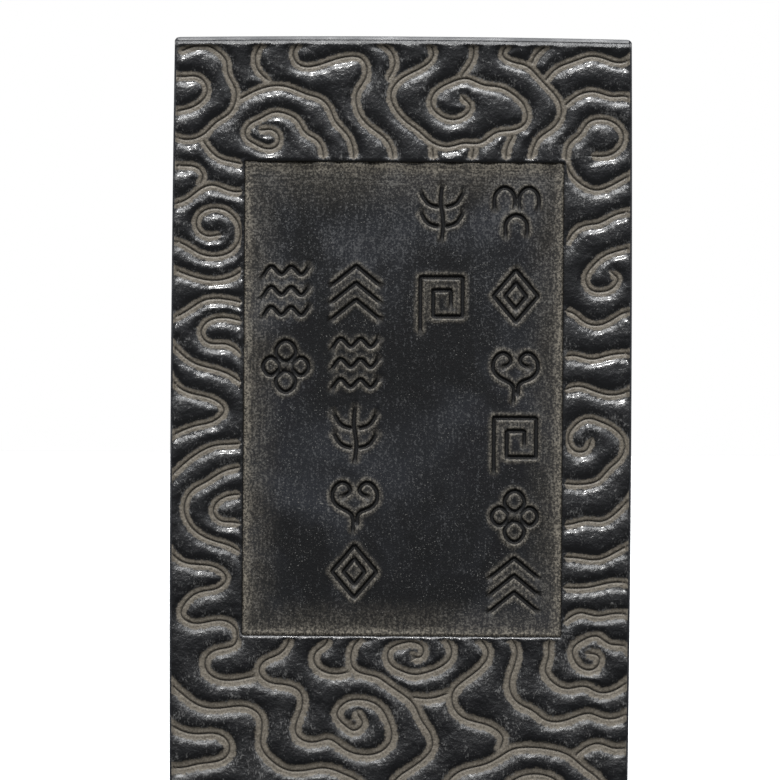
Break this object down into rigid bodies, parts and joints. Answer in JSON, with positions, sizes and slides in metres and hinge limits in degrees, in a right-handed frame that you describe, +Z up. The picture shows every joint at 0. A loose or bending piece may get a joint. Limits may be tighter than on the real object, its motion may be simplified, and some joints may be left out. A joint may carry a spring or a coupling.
{
  "type": "ink stick",
  "caption": "Upright rectangular ink stick with a cloud-scroll relief border round a sunken tablet of incised ornaments, tan powder in its grooves and lacquered edges.",
  "frame": {"origin": "centre of the bounding box at the underside of the grinding end", "axes": "+Z up along the stick's length, X across its width, Y through its thickness, pictured face towards -Y"},
  "size_m": [0.0706, 0.018, 0.1243],
  "materials": {
    "ink_body": "dense matt black",
    "ink_relief": "polished blue-black, moulded",
    "ink_field": "rubbed charcoal, upright scratches",
    "tan_powder": "dusty tan",
    "edge_lacquer": "glossy blue-grey black",
    "end_lacquer": "thin satin black"
  },
  "bodies": {
    "root": {"ink_core": "ink_body", "front_cloud_border": "ink_relief", "front_tablet": "ink_field", "front_groove_powder": "tan_powder", "front_tablet_powder": "tan_powder", "front_mark_powder": "tan_powder", "back_cloud_border": "ink_relief", "back_tablet": "ink_field", "back_groove_powder": "tan_powder", "back_tablet_powder": "tan_powder", "left_edge_lacquer": "edge_lacquer", "right_edge_lacquer": "edge_lacquer", "top_edge_lacquer": "edge_lacquer", "grinding_end_lacquer": "end_lacquer"}
  },
  "joints": []
}
